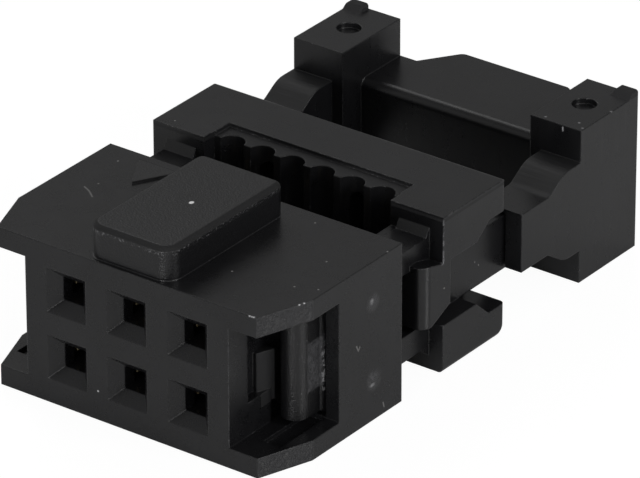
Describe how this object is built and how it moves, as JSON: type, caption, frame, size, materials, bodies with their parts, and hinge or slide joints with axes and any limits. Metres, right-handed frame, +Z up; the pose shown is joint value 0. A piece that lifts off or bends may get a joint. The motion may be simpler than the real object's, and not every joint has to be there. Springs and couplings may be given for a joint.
{
  "type": "idc socket connector",
  "caption": "Insulation-displacement ribbon cable socket with a polarising key, shown pulled apart into socket housing, grooved cover and strain relief.",
  "frame": {"origin": "centre of the bounding box's base, on the surface that the connector lies on", "axes": "+X along the rows of holes, +Y from the mating face to the rear, +Z up through the polarising key"},
  "size_m": [0.0122, 0.0224, 0.0072],
  "materials": {
    "housing_plastic": "satin",
    "cover_plastic": "satin",
    "relief_plastic": "satin",
    "contact_metal": "satin"
  },
  "bodies": {
    "socket": {"housing": "housing_plastic", "contact_1": "contact_metal", "contact_2": "contact_metal", "contact_3": "contact_metal", "contact_4": "contact_metal", "contact_5": "contact_metal", "contact_6": "contact_metal"},
    "cover": {"cover": "cover_plastic"},
    "relief": {"strain_relief": "relief_plastic"}
  },
  "joints": [
    {"name": "cover_slide", "type": "slide", "parent": "socket", "child": "cover", "axis": [0, -1, 0], "range_m": [0, 0.0012]},
    {"name": "relief_slide", "type": "slide", "parent": "cover", "child": "relief", "axis": [0, -1, 0], "range_m": [-0.001, 0.00412]}
  ]
}
